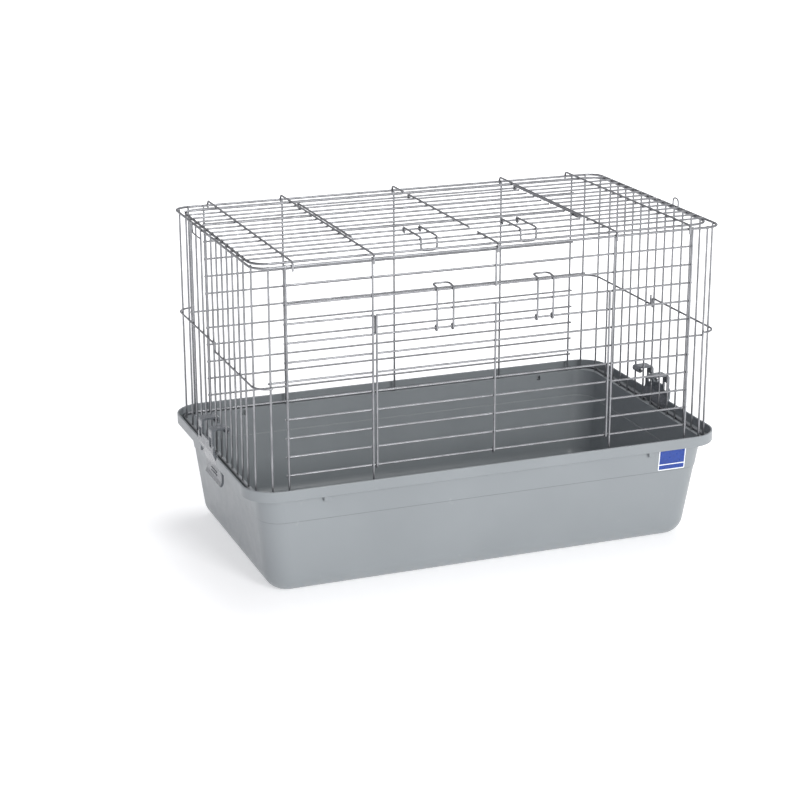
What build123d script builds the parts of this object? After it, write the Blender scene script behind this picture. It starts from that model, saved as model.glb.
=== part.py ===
from build123d import *
import os
from math import atan, cos, sin

# Wire cage for a small animal: a wire top that stands in the rim of a deep plastic tub.
# Millimetres. X runs along the length, -Y is the front, +Z is up.
# The origin is the middle of the tub's underside.

# Overall size
length = 603.25  # over the two end clips
width = 349.25  # over the tub's rim
height = 400.05  # up to the latches of the top door

# Wire stock and clearances
wire_d = 2.4
rail_d = 3.0
weld_gap = 0.05  # left between two welded wires, so that each stays a solid of its own
play = 0.3  # left between pieces that move past each other
wire_r = wire_d / 2
rail_r = rail_d / 2
cross = wire_d + weld_gap  # centre distance of two welded wires
rail_cross = wire_r + rail_r + weld_gap  # centre distance of a wire welded to a rail
curl_r = wire_d + play  # centre radius of a wire curled round a hinge wire
curl_turn = 250.0  # degrees of a hinge curl
bend_r = 3.5  # centre radius of a sharp bend in a wire
tail = 1.5  # a wire's end past the wire that it is welded to

# Tub
clip_proud = 3.1  # the end clips stand out this far past the rim
rim_half_x = length / 2 - clip_proud
rim_half_y = width / 2
rim_corner = 38.0
rim_edge = 0.8  # rounding of the rim's edges
lip = 2.2
wall = 2.2
floor = 2.5
ledge_z = 126.7  # the ledge inside the rim that the wire top stands on
rim_rise = 10.8  # rim over the ledge
rim_top = ledge_z + rim_rise
ledge_t = 2.2
ledge_x = 15.0  # rim to wall, at the ends
ledge_y = 11.5  # rim to wall, front and back
wall_half_x = rim_half_x - ledge_x
wall_half_y = rim_half_y - ledge_y
draft = 14.0  # the walls lean in this much from the ledge to the foot
corner_top = 26.0
corner_foot = 30.0
foot_r = 25.0
step_drop = 33.7  # ledge to step
step_z = ledge_z - step_drop
step = 0.8
notch_x = 5.5  # wall to notch, so that the ledge still carries the wire
pocket_x = 206.0
pocket_w = 8.0
pocket_h = 8.0
pocket_d = 4.0
slot_w = 5.0
slot_h = 6.0
label_x = 236.0
label_z = ledge_z - 17.7
label_w = 36.0
label_h = 29.0
label_t = 0.3
label_corner = 1.5

# Wire frame
base_x = wall_half_x + 3.75  # centre line of the base wires and of the top rails
base_y = wall_half_y + 3.125
base_corner = 17.75
base_z = ledge_z + play + rail_r
latch_top_z = height - wire_r
top_bar_z = latch_top_z - curl_r
top_door_z = top_bar_z + cross
long_z = top_door_z - curl_r
rail_z = long_z - rail_cross
tie_z = long_z + cross
upright_foot_z = base_z - wire_r
upright_top_z = rail_z + wire_r
panel_x = base_x - rail_cross  # plane of the end uprights
panel_y = base_y - rail_cross  # plane of the front and back uprights
row_count = 12  # rows of mesh between the base wire and the top rail
row_pitch = (rail_z - base_z) / row_count
row_y = panel_y - cross
corner_x = base_x - base_corner
corner_y = base_y - base_corner
side_x = panel_x - 34.5
side_tail = 2.5
belt_row_tail = 2.2
frame_x = 149.0  # uprights beside the door
belt_row = 5
belt_shift = 4.5
belt_tail = 1.5
belt_y = 2.2
belt_hook = 12.0
end_pitch = 21.6
end_count = int((corner_y - end_pitch / 2) / end_pitch)
rail_gap_y = 5.0

# Top panel
ring_x = panel_x - rail_cross
ring_y = panel_y - 16.5
ring_corner = 20.0
ring_tail = 1.0
top_pitch = 20.1
top_count = int((ring_y - top_pitch / 2) / top_pitch) + 1
hinge_row = top_count - 2
catch_row = top_count - 2
stop_row = catch_row - 3  # upper end of the wires that the closed top door rests on
tie_x = panel_x - 41.5
tie_hook = 10.5
tie_bend = 4.0
hook_y = base_y + rail_cross

# Doors
door_x = 144.5
bar_x = door_x - 0.6
stop_x = bar_x + play + wire_r
stop_bend = 3.0
latch_x = 62.0
latch_half = 9.9
latch_loop_r = 5.0
latch_over = 2.95  # knee of a front latch over the centre of the wire that it catches
latch_rise = 1.5
latch_reach = 15.5
top_latch_drop = 15.5
top_latch_reach = 3.05
bar_pitch = 21.3
bar_margin_back = 15.05
bar_margin_front = 29.0

# End clips
clip_t = 2.6
clip_half = 32.0
clip_hook_y = 21.6
clip_hook_w = 14.0
rod_z = base_z + 37.5
rod_tail = 1.5
rod_x = panel_x - cross
clip_curl = wire_r + play + clip_t / 2
clip_curl_turn = 260.0
clip_wall_x = length / 2 - clip_t / 2
clip_knee_z = rim_top + 2.5
clip_grip_x = clip_wall_x - 9.6
clip_grip_z = ledge_z - 12.7
clip_flare_z = clip_grip_z - 11.0
clip_foot_z = clip_grip_z - 16.0
clip_flare = 2.3
clip_bend = 4.0
clip_plate_z = rod_z - 14.0
clip_round = 5.0
window_w = 10.0
window_low_z = rod_z - 20.0
window_high_z = rod_z - 8.0
grip_half = 11.0
grip_r = 0.9
grip_z = (clip_grip_z - 4.0, clip_grip_z - 8.0)
notch_y = clip_half + 1.2

# Wire loops on the end rails: one stands up at the right, a wider one hangs at the left
right_loop_y = -47.5
right_loop_half = 6.5
right_loop_top = 9.5  # above the rail's centre
left_loop_y = 53.0
left_loop_half = 18.5
left_loop_foot = 10.0  # below the rail's centre
loop_bend = 5.0
loop_lap = 2.5  # a loop's ends past the rail's centre
loop_wire_r = 0.9


def level(row):
    """Height of a row of the mesh, counted down from the one under the rail."""
    return rail_z - (row + 1) * row_pitch


def top_y(row):
    """Distance of a long wire of the top panel from the middle."""
    return top_pitch * (row + 0.5)


def rods_x(places, start, end, radius=wire_r):
    """Straight wires along X at each (y, z)."""
    with BuildSketch(Plane.YZ.offset(start)) as ends:
        with Locations(*places):
            Circle(radius)
    extrude(ends.sketch, amount=end - start)


def rods_y(places, start, end, radius=wire_r):
    """Straight wires along Y at each (x, z)."""
    with BuildSketch(Plane.XZ.offset(-end)) as ends:
        with Locations(*places):
            Circle(radius)
    extrude(ends.sketch, amount=end - start)


def rods_z(places, start, end, radius=wire_r):
    """Straight wires along Z at each (x, y)."""
    with BuildSketch(Plane.XY.offset(start)) as ends:
        with Locations(*places):
            Circle(radius)
    extrude(ends.sketch, amount=end - start)


def sweep_round(path, radius):
    """Round wire along a path."""
    with BuildSketch(Plane(origin=path @ 0, z_dir=path % 0)) as section:
        Circle(radius)
    sweep(section.sketch, path=path)


def bent(points, bends, radius=wire_r, close=False):
    """Wire through the points, with a bend radius for each corner."""
    with BuildLine() as route:
        FilletPolyline(*points, radius=bends, close=close)
    sweep_round(Wire(route.edges()), radius)


def curled(x, far_end, near_end, axis_yz, start_angle, turn):
    """Straight wire at one X that ends in a curl round a hinge wire."""
    with BuildLine(Plane.YZ.offset(x)) as route:
        Line(far_end, near_end)
        CenterArc(axis_yz, curl_r, start_angle, turn)
    sweep_round(Wire(route.edges()), wire_r)


def latch(x, axis_yz, start_angle, turn, knee, tip):
    """Bail latch: two legs that curl round a door bar, joined by a bent loop."""
    left_x = x - latch_half
    right_x = x + latch_half
    with BuildLine(Plane.YZ.offset(left_x)) as left_curl:
        left_arc = CenterArc(axis_yz, curl_r, start_angle, turn)
    with BuildLine(Plane.YZ.offset(right_x)) as right_curl:
        right_arc = CenterArc(axis_yz, curl_r, start_angle, turn)
    points = (
        left_arc @ 0,
        (left_x, *knee),
        (left_x, *tip),
        (right_x, *tip),
        (right_x, *knee),
        right_arc @ 0,
    )
    with BuildLine() as body:
        FilletPolyline(*points, radius=(bend_r, latch_loop_r, latch_loop_r, bend_r))
    path = Wire(left_curl.edges() + body.edges() + right_curl.edges())
    sweep_round(path, wire_r)


def half_frame(side, z):
    """Half of a rail, front (-1) or back (1), round both corners to the middle of each end."""
    points = (
        (-base_x, side * rail_gap_y, z),
        (-base_x, side * base_y, z),
        (base_x, side * base_y, z),
        (base_x, side * rail_gap_y, z),
    )
    bent(points, base_corner, rail_r)


def belt(end, side, z, hook):
    """Quarter belt outside the uprights, with a hook up (1) or down (-1) at the end's middle."""
    x = end * (panel_x + cross)
    y = side * (panel_y + cross)
    points = (
        (end * (corner_x - belt_tail), y, z),
        (x, y, z),
        (x, side * belt_y, z),
        (x, side * belt_y, z + hook * belt_hook),
    )
    bent(points, (base_corner - rail_cross + cross, stop_bend))


def stop(end, levels, place):
    """U-shaped wire at one side of a door opening, which the closed door rests on."""
    outer_x, upper, lower = levels
    points = (
        (end * outer_x, *place(upper)),
        (end * stop_x, *place(upper)),
        (end * stop_x, *place(lower)),
        (end * outer_x, *place(lower)),
    )
    bent(points, stop_bend)


def wall_section(z, inset):
    """Outline of the tub's wall at one height, moved in by an inset."""
    share = 1 - z / ledge_z
    corner = corner_top + (corner_foot - corner_top) * share - inset
    with BuildSketch(Plane.XY.offset(z)) as section:
        RectangleRounded(
            2 * (wall_half_x - draft * share - inset),
            2 * (wall_half_y - draft * share - inset),
            corner,
        )
    return section.sketch


def tub_block(inset, foot_z, foot_round):
    """Solid tub shape with its step and rounded foot."""
    with BuildPart() as block:
        loft([wall_section(foot_z, inset + step), wall_section(step_z, inset + step)])
        fillet(block.edges().group_by(Axis.Z)[0], foot_round)
        loft([wall_section(step_z, inset), wall_section(ledge_z, inset)])
    return block.part


def save(piece, name):
    """Label a finished piece and write it."""
    piece.part.label = name
    export_step(piece.part, f"parts/{name}.step")


os.makedirs("parts", exist_ok=True)

# Tub, with the rim channel that the wire top stands in
tub_outside = tub_block(0, 0, foot_r)
tub_inside = tub_block(wall, floor, foot_r - wall)
with BuildPart() as tub:
    with BuildSketch(Plane.XY.offset(ledge_z - ledge_t)):
        RectangleRounded(2 * rim_half_x, 2 * rim_half_y, rim_corner)
    extrude(amount=rim_top - ledge_z + ledge_t)
    with BuildSketch(Plane.XY.offset(ledge_z)):
        RectangleRounded(2 * (rim_half_x - lip), 2 * (rim_half_y - lip), rim_corner - lip)
    extrude(amount=rim_top - ledge_z, mode=Mode.SUBTRACT)
    fillet(tub.edges().group_by(Axis.Z)[-1], rim_edge)
    fillet(tub.edges().group_by(Axis.Z)[0], rim_edge)
    add(tub_outside)
    pocket_z = ledge_z - ledge_t - pocket_h / 2
    for x in (-pocket_x, pocket_x):
        for side in (-1, 1):
            with Locations((x, side * (wall_half_y + pocket_d / 2 - wall / 2), pocket_z)):
                Box(pocket_w, pocket_d + wall, pocket_h)
    add(tub_inside, mode=Mode.SUBTRACT)
    slot_z = ledge_z - ledge_t - slot_h / 2
    for x in (-pocket_x, pocket_x):
        for side in (-1, 1):
            with Locations((x, side * (wall_half_y + pocket_d / 2 - 2 * wall), slot_z)):
                Box(slot_w, pocket_d + 2 * wall, slot_h, mode=Mode.SUBTRACT)
    for end in (-1, 1):
        notch_from = wall_half_x + notch_x
        with Locations((end * (notch_from + ledge_x / 2), 0, rim_top)):
            Box(ledge_x, 2 * notch_y, 2 * (rim_top - ledge_z + 2 * ledge_t), mode=Mode.SUBTRACT)
save(tub, "tub")

# Blank label on the front wall
wall_lean = atan(draft / ledge_z)
label_y = -(wall_half_y - draft * (1 - label_z / ledge_z))
label_normal = (0, -cos(wall_lean), -sin(wall_lean))
label_plane = Plane(origin=(label_x, label_y, label_z), x_dir=(1, 0, 0), z_dir=label_normal)
with BuildPart() as blank_label:
    with BuildSketch(label_plane.offset(weld_gap)):
        RectangleRounded(label_w, label_h, label_corner)
    extrude(amount=label_t)
save(blank_label, "blank_label")

# Uprights of the front and back panels
corner_set = [(x * s, 1) for x in (side_x, frame_x, corner_x) for s in (-1, 1)]
for name, side in (("front", -1), ("back", 1)):
    places = [(x, side * panel_y) for x, _ in corner_set]
    with BuildPart() as uprights:
        rods_z(places, upright_foot_z, upright_top_z)
        middle_foot_z = level(1) - tail if side < 0 else upright_foot_z
        rods_z([(0, side * panel_y)], middle_foot_z, upright_top_z)
    save(uprights, f"{name}_uprights")

# Uprights of the ends, a half of each end to each panel
for panel_name, side in (("front", -1), ("back", 1)):
    for end_name, end in (("left", -1), ("right", 1)):
        end_places = [(end * panel_x, side * end_pitch * (i + 0.5)) for i in range(end_count)]
        end_places.append((end * panel_x, side * corner_y))
        with BuildPart() as end_uprights:
            rods_z(end_places, upright_foot_z, upright_top_z)
        save(end_uprights, f"{panel_name}_{end_name}_end_uprights")

# Level wires right across the front, above and below the door
with BuildPart() as front_cross_wires:
    full_rows = [(-row_y, level(row)) for row in (0, 1, row_count - 2)]
    rods_x(full_rows, -side_x - side_tail, side_x + side_tail)
save(front_cross_wires, "front_cross_wires")

# Level wires at both sides of the front door, and the U wires that stop it
for end_name, end in (("left", -1), ("right", 1)):
    with BuildPart() as side_wires:
        for row in range(4, row_count - 2):
            outer_x = corner_x + belt_row_tail if row == belt_row else side_x + side_tail
            ends = sorted((end * outer_x, end * (frame_x - tail)))
            rods_x([(-row_y, level(row))], *ends)
    save(side_wires, f"front_{end_name}_side_wires")
    with BuildPart() as front_stop:
        stop(end, (side_x + side_tail, level(2), level(3)), lambda z: (-row_y, z))
    save(front_stop, f"front_{end_name}_stop")

# Level wires of the back panel
with BuildPart() as back_cross_wires:
    for row in range(row_count - 1):
        outer_x = corner_x + belt_row_tail if row == belt_row else side_x + side_tail
        rods_x([(row_y, level(row))], -outer_x, outer_x)
save(back_cross_wires, "back_cross_wires")

# Top rails, base wires, belts and the rods that carry the end clips
for panel_name, side in (("front", -1), ("back", 1)):
    with BuildPart() as top_rail:
        half_frame(side, rail_z)
    save(top_rail, f"{panel_name}_top_rail")
    with BuildPart() as base_wire:
        half_frame(side, base_z)
    save(base_wire, f"{panel_name}_base_wire")
    for end_name, end in (("left", -1), ("right", 1)):
        belt_up = 1 if side == end else -1
        belt_z = level(belt_row) - belt_up * belt_shift
        with BuildPart() as quarter_belt:
            belt(end, side, belt_z, belt_up)
        save(quarter_belt, f"{panel_name}_{end_name}_belt")
    with BuildPart() as clip_rods:
        near = side * (end_pitch / 2 - rod_tail)
        far = side * (1.5 * end_pitch + rod_tail)
        rods_y([(-rod_x, rod_z), (rod_x, rod_z)], *sorted((near, far)))
    save(clip_rods, f"{panel_name}_clip_rods")

# Top panel: the ring, its long wires, and the cross wires that hook over the rails
with BuildPart() as top_ring:
    ring_points = (
        (-ring_x, -ring_y, rail_z),
        (ring_x, -ring_y, rail_z),
        (ring_x, ring_y, rail_z),
        (-ring_x, ring_y, rail_z),
    )
    bent(ring_points, ring_corner, rail_r, close=True)
save(top_ring, "top_ring")

long_x = ring_x + ring_tail
with BuildPart() as top_long_wires:
    full_y = [top_y(row) for row in range(hinge_row, top_count)]
    full_y += [-top_y(row) for row in range(catch_row, top_count)]
    rods_x([(y, long_z) for y in full_y], -long_x, long_x)
save(top_long_wires, "top_long_wires")

stop_upper_y = -top_y(stop_row)
stop_lower_y = -top_y(stop_row + 1)
for end_name, end in (("left", -1), ("right", 1)):
    with BuildPart() as short_wires:
        short_y = [top_y(row) for row in range(hinge_row)]
        short_y += [-top_y(row) for row in range(catch_row) if row not in (stop_row, stop_row + 1)]
        ends = sorted((end * long_x, end * (frame_x - tail)))
        rods_x([(y, long_z) for y in short_y], *ends)
    save(short_wires, f"top_{end_name}_wires")
    with BuildPart() as top_stop:
        stop(end, (long_x, stop_upper_y, stop_lower_y), lambda y: (y, long_z))
    save(top_stop, f"top_{end_name}_stop")

for name, x_size in (("top_tie_wires", tie_x), ("top_frame_wires", frame_x)):
    with BuildPart() as ties:
        for x in (-x_size, x_size):
            tie_points = (
                (x, -hook_y, tie_z - tie_hook),
                (x, -hook_y, tie_z),
                (x, hook_y, tie_z),
                (x, hook_y, tie_z - tie_hook),
            )
            bent(tie_points, tie_bend)
    save(ties, name)

with BuildPart() as top_centre_stubs:
    for side, row in ((-1, catch_row), (1, top_count - 1)):
        stub_points = (
            (0, side * hook_y, tie_z - tie_hook),
            (0, side * hook_y, tie_z),
            (0, side * (top_y(row) - tail), tie_z),
        )
        bent(stub_points, tie_bend)
save(top_centre_stubs, "top_centre_stubs")

# Wire loops on the outside of the end rails
loop_x = base_x + rail_r + loop_wire_r + weld_gap
for name, x, middle, half, lap_z, far_z in (
    ("left", -loop_x, left_loop_y, left_loop_half, loop_lap, -left_loop_foot),
    ("right", loop_x, right_loop_y, right_loop_half, -loop_lap, right_loop_top),
):
    with BuildPart() as rail_loop:
        loop_points = (
            (x, middle - half, rail_z + lap_z),
            (x, middle - half, rail_z + far_z),
            (x, middle + half, rail_z + far_z),
            (x, middle + half, rail_z + lap_z),
        )
        bent(loop_points, loop_bend, loop_wire_r)
    save(rail_loop, f"{name}_rail_loop")

# Front door: uprights that curl round the lowest cross wire, and its level bars
hinge_z = level(row_count - 2)
front_door_y = -row_y - curl_r
front_bar_y = front_door_y + cross
with BuildPart() as front_door_uprights:
    for x in (-door_x, 0, door_x):
        top_end = (front_door_y, level(2) + tail)
        curled(x, top_end, (front_door_y, hinge_z), (-row_y, hinge_z), 180, curl_turn)
save(front_door_uprights, "front_door_uprights")

with BuildPart() as front_door_bars:
    front_bars = [(front_bar_y, level(row)) for row in range(2, row_count - 2)]
    rods_x(front_bars, -bar_x, bar_x)
save(front_door_bars, "front_door_bars")

# Front latches: curled round the second bar, their loops reach in over the row above the door
latch_z = level(3)
catch_z = level(1)
front_latch_y = front_bar_y - curl_r
front_knee = (front_latch_y, catch_z + latch_over)
front_tip = (front_latch_y + latch_reach, catch_z + latch_over + latch_rise)
for end_name, end in (("left", -1), ("right", 1)):
    with BuildPart() as front_latch:
        latch(end * latch_x, (front_bar_y, latch_z), 180, curl_turn, front_knee, front_tip)
    save(front_latch, f"front_latch_{end_name}")

# Top door: wires that curl round a long wire at the back, and its bars
top_hinge_y = top_y(hinge_row)
top_catch_y = -top_y(catch_row)
first_bar_y = top_hinge_y - bar_margin_back
last_bar_y = top_catch_y + bar_margin_front
bar_gaps = round((first_bar_y - last_bar_y) / bar_pitch)
bar_step = (first_bar_y - last_bar_y) / bar_gaps
with BuildPart() as top_door_wires:
    for x in (-door_x, 0, door_x):
        front_end = (last_bar_y - tail, top_door_z)
        curled(x, front_end, (top_hinge_y, top_door_z), (top_hinge_y, long_z), 90, -curl_turn)
save(top_door_wires, "top_door_wires")

with BuildPart() as top_door_bars:
    top_bars = [(first_bar_y - i * bar_step, top_bar_z) for i in range(bar_gaps + 1)]
    rods_x(top_bars, -bar_x, bar_x)
save(top_door_bars, "top_door_bars")

# Top latches: curled round the last bar but one, their loops hang down in front of the catch wire
top_latch_axis_y = last_bar_y + bar_step
top_knee = (top_catch_y - top_latch_reach, latch_top_z)
top_tip = (top_catch_y - top_latch_reach, latch_top_z - top_latch_drop)
for end_name, end in (("left", -1), ("right", 1)):
    with BuildPart() as top_latch:
        latch(end * latch_x, (top_latch_axis_y, top_bar_z), 90, -curl_turn, top_knee, top_tip)
    save(top_latch, f"top_latch_{end_name}")

# End clip: two hooks curl round the rods, and a plate reaches down through the rim's notch
with BuildPart() as right_side_clip:
    with BuildSketch(Plane.XZ) as clip_profile:
        with BuildLine() as spine:
            curl = CenterArc((rod_x, rod_z), clip_curl, 90, clip_curl_turn)
            FilletPolyline(
                curl @ 0,
                (clip_wall_x, rod_z + clip_curl),
                (clip_wall_x, clip_knee_z),
                (clip_grip_x, clip_grip_z),
                (clip_grip_x, clip_flare_z),
                (clip_grip_x + clip_flare, clip_foot_z),
                radius=clip_bend,
            )
        trace(line_width=clip_t)
    extrude(amount=clip_half, both=True)
    with BuildSketch(Plane.YZ.offset(rod_x - 2 * clip_curl)) as clip_outline:
        plate_h = clip_plate_z - clip_foot_z + clip_t
        with Locations((0, clip_plate_z - plate_h / 2)):
            RectangleRounded(2 * clip_half, plate_h, clip_round)
        hook_h = rod_z + 2 * clip_curl - clip_plate_z + clip_round
        with Locations(*((s * clip_hook_y, clip_plate_z - clip_round + hook_h / 2) for s in (-1, 1))):
            Rectangle(clip_hook_w, hook_h)
    extrude(amount=length / 2, mode=Mode.INTERSECT)
    window_z = (window_low_z + window_high_z) / 2
    for side in (-1, 1):
        with Locations((clip_wall_x, side * clip_hook_y, window_z)):
            Box(2 * clip_t, window_w, window_high_z - window_low_z, mode=Mode.SUBTRACT)
    rods_y([(clip_grip_x + clip_t / 2, z) for z in grip_z], -grip_half, grip_half, grip_r)
save(right_side_clip, "right_side_clip")

with BuildPart() as left_side_clip:
    mirror(right_side_clip.part, about=Plane.YZ)
save(left_side_clip, "left_side_clip")

print("levels", [round(level(row), 2) for row in range(row_count - 1)])
print("bar step", round(bar_step, 3), "end uprights", end_count, "top rows", top_count)
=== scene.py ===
"""Looks of a wire rabbit cage: finishes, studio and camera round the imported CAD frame."""

from __future__ import annotations

import logging
import math
from dataclasses import dataclass, field
from enum import Enum

import bpy
from mathutils import Matrix, Vector

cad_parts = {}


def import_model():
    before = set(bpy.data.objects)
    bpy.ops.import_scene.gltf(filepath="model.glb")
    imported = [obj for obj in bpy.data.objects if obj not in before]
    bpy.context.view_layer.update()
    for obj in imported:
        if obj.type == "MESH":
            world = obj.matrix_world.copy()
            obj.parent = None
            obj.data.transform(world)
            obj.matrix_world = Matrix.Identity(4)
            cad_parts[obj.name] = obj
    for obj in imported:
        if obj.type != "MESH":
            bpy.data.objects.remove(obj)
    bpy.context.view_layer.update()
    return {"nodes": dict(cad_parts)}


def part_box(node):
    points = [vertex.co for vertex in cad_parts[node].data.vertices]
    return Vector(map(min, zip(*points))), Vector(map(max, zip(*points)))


LOG = logging.getLogger("cage")
MM = 0.001

Material = bpy.types.Material
NodeSocket = bpy.types.NodeSocket
NodeTree = bpy.types.NodeTree
ShaderNode = bpy.types.ShaderNode
Colour = tuple[float, float, float, float]
Span = tuple[float, float]

SHARE: Span = (0.0, 1.0)
WHITE: Colour = (1.0, 1.0, 1.0, 1.0)


def linear(code: str) -> Colour:
    """Turn an sRGB hex colour into a linear one.

    Args:
        code: colour as six hex digits after a hash sign.

    Returns:
        Linear red, green, blue and an alpha of 1.
    """
    channels = (int(code[i : i + 2], 16) / 255 for i in (1, 3, 5))
    red, green, blue = (c / 12.92 if c <= 0.04045 else ((c + 0.055) / 1.055) ** 2.4 for c in channels)
    return red, green, blue, 1.0


def add_node(
    tree: NodeTree,
    kind: str,
    settings: dict[str, object] | None = None,
    values: dict[str | int, object] | None = None,
    links: dict[str | int, NodeSocket] | None = None,
) -> ShaderNode:
    """Add one node with its settings, socket values and incoming links.

    Args:
        tree: node tree that gets the node.
        kind: Blender's identifier of the node.
        settings: the node's own properties.
        values: default values by input socket.
        links: source sockets by input socket.

    Returns:
        The new node.
    """
    node = tree.nodes.new(kind)
    for name, value in (settings or {}).items():
        setattr(node, name, value)
    for name, value in (values or {}).items():
        node.inputs[name].default_value = value
    for name, source in (links or {}).items():
        tree.links.new(source, node.inputs[name])
    return node


def empty_material(name: str) -> tuple[Material, NodeTree]:
    """Make a material with an empty node tree.

    Args:
        name: name of the material.

    Returns:
        The material and its tree.
    """
    material = bpy.data.materials.new(name)
    material.use_nodes = True
    material.node_tree.nodes.clear()
    return material, material.node_tree


def close_material(tree: NodeTree, values: dict[str, object], links: dict[str, NodeSocket]) -> None:
    """Add the surface shader and link it to the material's output.

    Args:
        tree: node tree of the material.
        values: the shader's constant values by socket.
        links: source sockets by the shader's input.
    """
    shader = add_node(tree, "ShaderNodeBsdfPrincipled", values=values, links=links)
    add_node(tree, "ShaderNodeOutputMaterial", links={"Surface": shader.outputs[0]})


def blotches(tree: NodeTree, place: NodeSocket, size_mm: float, detail: float, rough: float) -> NodeSocket:
    """Add soft noise whose blotches have a real size.

    Args:
        tree: node tree that gets the noise.
        place: object coordinates in metres.
        size_mm: distance from one blotch to the next.
        detail: octaves of finer noise.
        rough: share that each finer octave keeps.

    Returns:
        The noise value's socket.
    """
    values = {"Scale": 1 / (size_mm * MM), "Detail": detail, "Roughness": rough}
    return add_node(tree, "ShaderNodeTexNoise", values=values, links={"Vector": place}).outputs["Fac"]


def spread(tree: NodeTree, value: NodeSocket, source: Span, result: Span) -> NodeSocket:
    """Map a value from one range onto another, and hold it there.

    Args:
        tree: node tree that gets the node.
        value: the value to map.
        source: low and high end of the value's range.
        result: what those two ends become.

    Returns:
        The mapped value's socket.
    """
    values = {"From Min": source[0], "From Max": source[1], "To Min": result[0], "To Max": result[1]}
    return add_node(tree, "ShaderNodeMapRange", values=values, links={"Value": value}).outputs["Result"]


def away_from(tree: NodeTree, along: NodeSocket, middle: float) -> NodeSocket:
    """Measure how far a coordinate lies from a middle, either way.

    Args:
        tree: node tree that gets the nodes.
        along: the coordinate, in metres.
        middle: where the distance is 0, in metres.

    Returns:
        The distance's socket.
    """
    offset = add_node(tree, "ShaderNodeMath", {"operation": "SUBTRACT"}, {1: middle}, {0: along})
    distance = add_node(tree, "ShaderNodeMath", {"operation": "ABSOLUTE"}, links={0: offset.outputs[0]})
    return distance.outputs[0]


def mix_colours(
    tree: NodeTree, share: NodeSocket, first: Colour | NodeSocket, second: Colour | NodeSocket
) -> NodeSocket:
    """Mix two colours, each a linear colour or a socket.

    Args:
        tree: node tree that gets the node.
        share: how much of the second colour shows.
        first: colour at a share of 0.
        second: colour at a share of 1.

    Returns:
        The mixed colour's socket.
    """
    node = add_node(tree, "ShaderNodeMix", {"data_type": "RGBA"}, links={"Factor": share})
    for name, colour in (("A", first), ("B", second)):
        socket = next(s for s in node.inputs if s.name == name and s.type == "RGBA")
        if isinstance(colour, NodeSocket):
            tree.links.new(colour, socket)
        else:
            socket.default_value = colour
    return next(s for s in node.outputs if s.type == "RGBA")


@dataclass(frozen=True)
class ZincPlatedWire:
    """Zinc-plated drawn steel wire: a cool grey metal with a soft, slightly mottled shine."""

    name: str = "zinc_plated_drawn_wire"
    bright: str = "#98999C"
    dull: str = "#858689"
    # Dark grey of the painted shade and weld tint near other wires.
    weld_tint_and_shade: str = "#48484C"
    roughness: Span = (0.40, 0.50)
    mottle_mm: float = 16.0
    mottle_band: Span = (0.35, 0.68)
    sheen_band: Span = (0.3, 0.7)
    drawing_mm: float = 0.5
    drawing_depth_mm: float = 0.02
    drawing_strength: float = 0.05
    weld_and_shade_reach_mm: float = 1.6
    weld_and_shade_band: Span = (0.25, 0.8)
    occlusion_rays: int = 6

    def material(self) -> Material:
        """Build the wire's material."""
        material, tree = empty_material(self.name)
        place = add_node(tree, "ShaderNodeTexCoord").outputs["Object"]
        # Plating takes unevenly, so the wire has lighter and darker stretches a centimetre or two long.
        mottle = blotches(tree, place, self.mottle_mm, 3.0, 0.55)
        share = spread(tree, mottle, self.mottle_band, SHARE)
        plated = mix_colours(tree, share, linear(self.bright), linear(self.dull))
        # Painted shade with some weld tint: the wire darkens wherever another wire or part lies within
        # reach, so every crossing and contact gets a dark ring.
        reach = {"Distance": self.weld_and_shade_reach_mm * MM}
        occlusion = add_node(tree, "ShaderNodeAmbientOcclusion", {"samples": self.occlusion_rays}, reach)
        open_share = spread(tree, occlusion.outputs["AO"], self.weld_and_shade_band, SHARE)
        colour = mix_colours(tree, open_share, linear(self.weld_tint_and_shade), plated)
        roughness = spread(tree, mottle, self.sheen_band, self.roughness)
        # Fine lines left by the drawing die, drawn coarser than the real ones so that they show.
        drawing = blotches(tree, place, self.drawing_mm, 2.0, 0.6)
        depth = {"Strength": self.drawing_strength, "Distance": self.drawing_depth_mm * MM}
        bump = add_node(tree, "ShaderNodeBump", values=depth, links={"Height": drawing})
        surface = {"Base Color": colour, "Roughness": roughness, "Normal": bump.outputs["Normal"]}
        close_material(tree, {"Metallic": 1.0}, surface)
        return material


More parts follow.
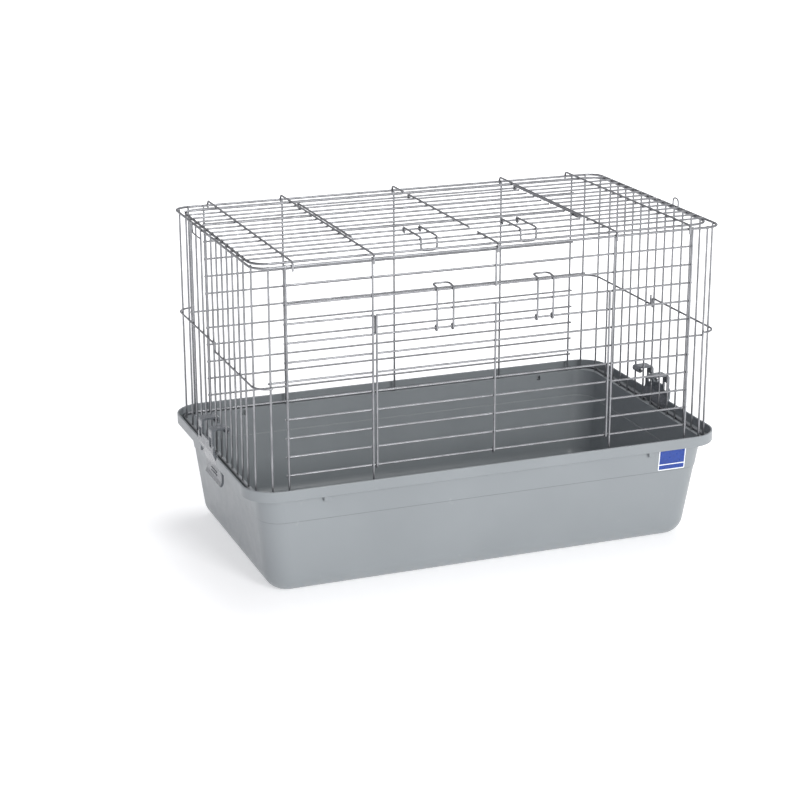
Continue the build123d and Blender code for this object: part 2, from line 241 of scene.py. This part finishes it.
@dataclass(frozen=True)
class MouldedPolypropylene:
    """Injection-moulded polypropylene: even grey with a satin sheen, faint flow marks and a fine grain."""

    name: str
    body: str
    flow: str
    # Pale tone of the scuffs, also used as the painted highlight of the step line.
    scuff_and_highlight: str
    shade: str
    roughness: Span
    flow_mm: float = 90.0
    flow_band: Span = (0.35, 0.7)
    scuff_mm: float = 14.0
    scuff_band: Span = (0.64, 0.78)
    scuff_share: float = 0.35
    sheen_band: Span = (0.35, 0.75)
    grain_mm: float = 0.9
    grain_depth_mm: float = 0.04
    grain_strength: float = 0.18
    edge_mm: float = 0.8
    edge_rays: int = 4
    # Height of the step that gets a painted line of shade outside and painted highlight inside.
    step_mm: float | None = None
    step_line_mm: float = 0.7
    step_share: float = 0.5
    step_turn_mm: float = 10.0
    ior: float = 1.49

    def paint_step_shade_and_highlight(self, tree: NodeTree, place: NodeSocket, colour: NodeSocket) -> NodeSocket:
        """Paint a thin line of shade and highlight where the wall steps in, if the piece has a step.

        Args:
            tree: node tree that gets the nodes.
            place: object coordinates in metres.
            colour: colour of the plain wall.

        Returns:
            The colour with the line in it.
        """
        if self.step_mm is None:
            return colour
        height = add_node(tree, "ShaderNodeSeparateXYZ", links={"Vector": place}).outputs["Z"]
        distance = away_from(tree, height, self.step_mm * MM)
        half_line = self.step_line_mm * MM / 2
        share = spread(tree, distance, (half_line, 2 * half_line), (self.step_share, 0.0))
        # Painted light: the line is a painted highlight inside, where the step faces up, and a painted
        # shade outside, where it faces down.
        facing = add_node(tree, "ShaderNodeTexCoord").outputs["Normal"]
        both = {0: place, 1: facing}
        outward = add_node(tree, "ShaderNodeVectorMath", {"operation": "DOT_PRODUCT"}, links=both)
        turn = self.step_turn_mm * MM
        shaded_side = spread(tree, outward.outputs["Value"], (-turn, turn), SHARE)
        painted_line = mix_colours(tree, shaded_side, linear(self.scuff_and_highlight), linear(self.shade))
        return mix_colours(tree, share, colour, painted_line)

    def material(self) -> Material:
        """Build the plastic's material."""
        material, tree = empty_material(self.name)
        place = add_node(tree, "ShaderNodeTexCoord").outputs["Object"]
        # The melt's flow leaves very soft lighter and darker fields across a wall.
        flow = blotches(tree, place, self.flow_mm, 2.0, 0.45)
        share = spread(tree, flow, self.flow_band, SHARE)
        colour = mix_colours(tree, share, linear(self.body), linear(self.flow))
        # Handling leaves thin pale scuffs, seen on a small part of the surface.
        scuffs = blotches(tree, place, self.scuff_mm, 6.0, 0.72)
        scuffed = spread(tree, scuffs, self.scuff_band, (0.0, self.scuff_share))
        colour = mix_colours(tree, scuffed, colour, linear(self.scuff_and_highlight))
        colour = self.paint_step_shade_and_highlight(tree, place, colour)
        roughness = spread(tree, scuffs, self.sheen_band, self.roughness)
        # The mould's spark-eroded texture, drawn a little coarser than the real grain.
        grain = blotches(tree, place, self.grain_mm, 2.0, 0.5)
        # A moulding has no knife edges, so its corners catch the light as if slightly rounded.
        radius = {"Radius": self.edge_mm * MM}
        rounded = add_node(tree, "ShaderNodeBevel", {"samples": self.edge_rays}, radius)
        depth = {"Strength": self.grain_strength, "Distance": self.grain_depth_mm * MM}
        relief = {"Height": grain, "Normal": rounded.outputs["Normal"]}
        bump = add_node(tree, "ShaderNodeBump", values=depth, links=relief)
        surface = {"Base Color": colour, "Roughness": roughness, "Normal": bump.outputs["Normal"]}
        close_material(tree, {"IOR": self.ior}, surface)
        return material


@dataclass(frozen=True)
class PrintedFilm:
    """Blank printed film: a blue field with a thin pale border and band, under a faint clear coat."""

    low: Vector
    high: Vector
    name: str = "blank_printed_film"
    field_blue: str = "#163F97"
    deep_blue: str = "#11347F"
    border: str = "#E9ECEF"
    border_mm: float = 1.3
    band_mm: float = 1.1
    band_share: float = 0.26
    print_blur_mm: float = 0.1
    ink_mm: float = 3.0
    ink_band: Span = (0.35, 0.7)
    sheen_mm: float = 5.0
    sheen_band: Span = (0.3, 0.7)
    roughness: Span = (0.25, 0.4)
    ior: float = 1.5
    coat: float = 0.15
    coat_roughness: float = 0.2

    def edge_share(self, tree: NodeTree, along: NodeSocket, low: float, high: float) -> NodeSocket:
        """Make a mask that is 1 within the border's width of either end of a span.

        Args:
            tree: node tree that gets the nodes.
            along: coordinate along the span, in metres.
            low: the span's low end.
            high: the span's high end.

        Returns:
            The mask's socket.
        """
        limit = (high - low) / 2 - self.border_mm * MM
        distance = away_from(tree, along, (low + high) / 2)
        return spread(tree, distance, (limit, limit + self.print_blur_mm * MM), SHARE)

    def material(self) -> Material:
        """Build the film's material."""
        material, tree = empty_material(self.name)
        place = add_node(tree, "ShaderNodeTexCoord").outputs["Object"]
        parts = add_node(tree, "ShaderNodeSeparateXYZ", links={"Vector": place}).outputs
        across = self.edge_share(tree, parts["X"], self.low.x, self.high.x)
        upward = self.edge_share(tree, parts["Z"], self.low.z, self.high.z)
        band_z = self.low.z + self.band_share * (self.high.z - self.low.z)
        half_band = self.band_mm * MM / 2
        from_band = away_from(tree, parts["Z"], band_z)
        band = spread(tree, from_band, (half_band, half_band + self.print_blur_mm * MM), (1.0, 0.0))
        either = {"operation": "MAXIMUM"}
        edges = add_node(tree, "ShaderNodeMath", either, links={0: across, 1: upward})
        pale = add_node(tree, "ShaderNodeMath", either, links={0: edges.outputs[0], 1: band})
        # The ink lies a little uneven, which breaks up the blue.
        ink = spread(tree, blotches(tree, place, self.ink_mm, 4.0, 0.6), self.ink_band, SHARE)
        blue = mix_colours(tree, ink, linear(self.field_blue), linear(self.deep_blue))
        colour = mix_colours(tree, pale.outputs[0], blue, linear(self.border))
        sheen = blotches(tree, place, self.sheen_mm, 3.0, 0.6)
        roughness = spread(tree, sheen, self.sheen_band, self.roughness)
        gloss = {"IOR": self.ior, "Coat Weight": self.coat, "Coat Roughness": self.coat_roughness}
        close_material(tree, gloss, {"Base Color": colour, "Roughness": roughness})
        return material


@dataclass(frozen=True)
class StudioPaper:
    """Matt white paper with a painted glow of its own: its faint fibre shows only close up."""

    name: str = "matt_studio_paper"
    sheet: str = "#F2F2F3"
    fibre: str = "#E6E6E8"
    fibre_mm: float = 2.0
    fibre_band: Span = (0.3, 0.7)
    fibre_share: float = 0.06
    roughness: float = 0.9
    gloss: float = 0.2
    glow: Span = (0.45, 1.0)
    glow_reach: Span = (0.45, 1.6)

    def material(self) -> Material:
        """Build the paper's material."""
        material, tree = empty_material(self.name)
        place = add_node(tree, "ShaderNodeTexCoord").outputs["Object"]
        fibres = blotches(tree, place, self.fibre_mm, 3.0, 0.5)
        share = spread(tree, fibres, self.fibre_band, (0.0, self.fibre_share))
        colour = mix_colours(tree, share, linear(self.sheet), linear(self.fibre))
        # Painted glow: the paper gives off light of its own, weaker under the cage, which paints a dimmer
        # pool round it, so that the paper stays white and still takes a shadow.
        away = add_node(tree, "ShaderNodeVectorMath", {"operation": "LENGTH"}, links={0: place})
        glow = spread(tree, away.outputs["Value"], self.glow_reach, self.glow)
        plain = {"Roughness": self.roughness, "Specular IOR Level": self.gloss, "Emission Color": WHITE}
        close_material(tree, plain, {"Base Color": colour, "Emission Strength": glow})
        return material


class Part(Enum):
    """The kinds of CAD node in the cage, by what they are made of."""

    TUB = "tub"
    CLIP = "side_clip"
    LABEL = "label"
    WIRE = "wire"

    @classmethod
    def of(cls, node: str) -> Part:
        """Tell what kind of node a name stands for.

        Args:
            node: name of a CAD node.

        Returns:
            The node's kind.
        """
        if node == cls.TUB.value:
            return cls.TUB
        return next((kind for kind in (cls.CLIP, cls.LABEL) if kind.value in node), cls.WIRE)


@dataclass
class Cage:
    """The cage's CAD nodes and the finish of each."""

    nodes: dict[str, bpy.types.Object]
    label: str = "blank_label"
    tub_finish: MouldedPolypropylene = MouldedPolypropylene(
        name="moulded_polypropylene_tub",
        body="#8C9194",
        flow="#888D90",
        scuff_and_highlight="#A6AAAC",
        shade="#64686B",
        roughness=(0.30, 0.44),
        # The tub's step gets a painted line of shade and highlight.
        step_mm=93.0,
    )
    clip_finish: MouldedPolypropylene = MouldedPolypropylene(
        name="moulded_polypropylene_clips",
        body="#75797D",
        flow="#6C7075",
        scuff_and_highlight="#9DA1A6",
        shade="#5C6064",
        roughness=(0.22, 0.34),
        flow_mm=30.0,
        grain_mm=0.6,
        scuff_mm=8.0,
        edge_mm=0.6,
    )
    wire_finish: ZincPlatedWire = ZincPlatedWire()

    def dress(self) -> None:
        """Give every node the finish of its kind, in all its material slots."""
        finishes = {
            Part.TUB: self.tub_finish.material(),
            Part.CLIP: self.clip_finish.material(),
            Part.LABEL: PrintedFilm(*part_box(self.label)).material(),
            Part.WIRE: self.wire_finish.material(),
        }
        for name, node in sorted(self.nodes.items()):
            finish = finishes[Part.of(name)]
            for slot in node.material_slots:
                slot.material = finish
            LOG.info("%s wears %s", name, finish.name)


@dataclass(frozen=True)
class Softbox:
    """Square softbox that faces the cage, with its place and side in metres and its power in watts."""

    name: str
    place: tuple[float, float, float]
    side: float
    power: float
    aim: tuple[float, float, float] = (0.0, 0.0, 0.18)

    def build(self) -> None:
        """Hang the softbox at its place."""
        light = bpy.data.lights.new(self.name, "AREA")
        light.shape = "SQUARE"
        light.size = self.side
        light.energy = self.power
        holder = bpy.data.objects.new(self.name, light)
        place = Vector(self.place)
        holder.location = place
        holder.rotation_euler = (Vector(self.aim) - place).to_track_quat("-Z", "Y").to_euler()
        bpy.context.scene.collection.objects.link(holder)
        LOG.info("%s hangs %.2f m from the middle", self.name, place.length)


@dataclass(frozen=True)
class Surround:
    """Pale surround: bright at the horizon, dimmer overhead, and dark beside the cage's left end."""

    name: str = "studio_surround"
    horizon: Colour = (0.97, 0.97, 1.0, 1.0)
    flag: Colour = (0.20, 0.19, 0.28, 1.0)
    overhead: Colour = (0.42, 0.42, 0.43, 1.0)
    overhead_band: Span = (0.1, 0.6)
    flag_band: Span = (-0.9, -0.15)
    strength: float = 0.9

    def build(self) -> None:
        """Make the world that surrounds the cage."""
        world = bpy.data.worlds.new(self.name)
        bpy.context.scene.world = world
        world.use_nodes = True
        tree = world.node_tree
        tree.nodes.clear()
        direction = add_node(tree, "ShaderNodeTexCoord").outputs["Generated"]
        parts = add_node(tree, "ShaderNodeSeparateXYZ", links={"Vector": direction}).outputs
        # The flag keeps the left end dimmer and cooler than the front.
        side = spread(tree, parts["X"], self.flag_band, (1.0, 0.0))
        low = mix_colours(tree, side, self.horizon, self.flag)
        above = spread(tree, parts["Z"], self.overhead_band, SHARE)
        colour = mix_colours(tree, above, low, self.overhead)
        background = add_node(tree, "ShaderNodeBackground", values={"Strength": self.strength})
        tree.links.new(colour, background.inputs["Color"])
        add_node(tree, "ShaderNodeOutputWorld", links={"Surface": background.outputs[0]})


@dataclass
class Studio:
    """Plain pale floor, soft lights and the camera, with lengths in metres and angles in degrees."""

    floor_half: float = 40.0
    paper: StudioPaper = StudioPaper()
    surround: Surround = Surround()
    softboxes: tuple[Softbox, ...] = (
        Softbox("front_softbox", (0.35, -3.1, 1.25), 0.9, 55.0),
        Softbox("top_softbox", (0.7, 0.6, 2.8), 1.6, 34.0),
    )
    target: Vector = field(default_factory=lambda: Vector((-0.05456, 0.0, 0.16902)))
    distance: float = 2.47045
    azimuth: float = -20.873
    elevation: float = 17.802
    roll: float = -0.149
    lens_mm: float = 90.86
    sensor_mm: float = 36.0

    def build(self) -> None:
        """Make the floor, the surround, the lights and the camera."""
        self.build_floor()
        self.surround.build()
        for softbox in self.softboxes:
            softbox.build()
        self.build_camera()

    def build_floor(self) -> None:
        """Make the floor under the object."""
        bpy.ops.object.select_all(action="DESELECT")
        bpy.ops.mesh.primitive_plane_add(size=2 * self.floor_half, location=(0, 0, 0))
        floor = bpy.context.object
        floor.name = "studio_floor"
        floor.data.materials.append(self.paper.material())

    def build_camera(self) -> None:
        """Make the camera at its azimuth and elevation round the target."""
        around = math.radians(self.azimuth)
        above = math.radians(self.elevation)
        flat = math.cos(above)
        back = Vector((math.sin(around) * flat, -math.cos(around) * flat, math.sin(above)))
        camera = bpy.data.cameras.new("camera")
        camera.lens = self.lens_mm
        camera.sensor_width = self.sensor_mm
        holder = bpy.data.objects.new("camera", camera)
        level = (-back).to_track_quat("-Z", "Y").to_matrix().to_4x4()
        tilt = Matrix.Rotation(math.radians(self.roll), 4, "Z")
        holder.matrix_world = Matrix.Translation(self.target + back * self.distance) @ level @ tilt
        bpy.context.scene.collection.objects.link(holder)
        bpy.context.scene.camera = holder


def main() -> None:
    """Build the looks round the CAD frame, in order."""
    logging.basicConfig(level=logging.INFO, format="%(name)s: %(message)s")
    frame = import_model()
    bpy.context.scene.view_settings.view_transform = "Standard"
    Cage(frame["nodes"]).dress()
    Studio().build()


if __name__ == "__main__":
    main()
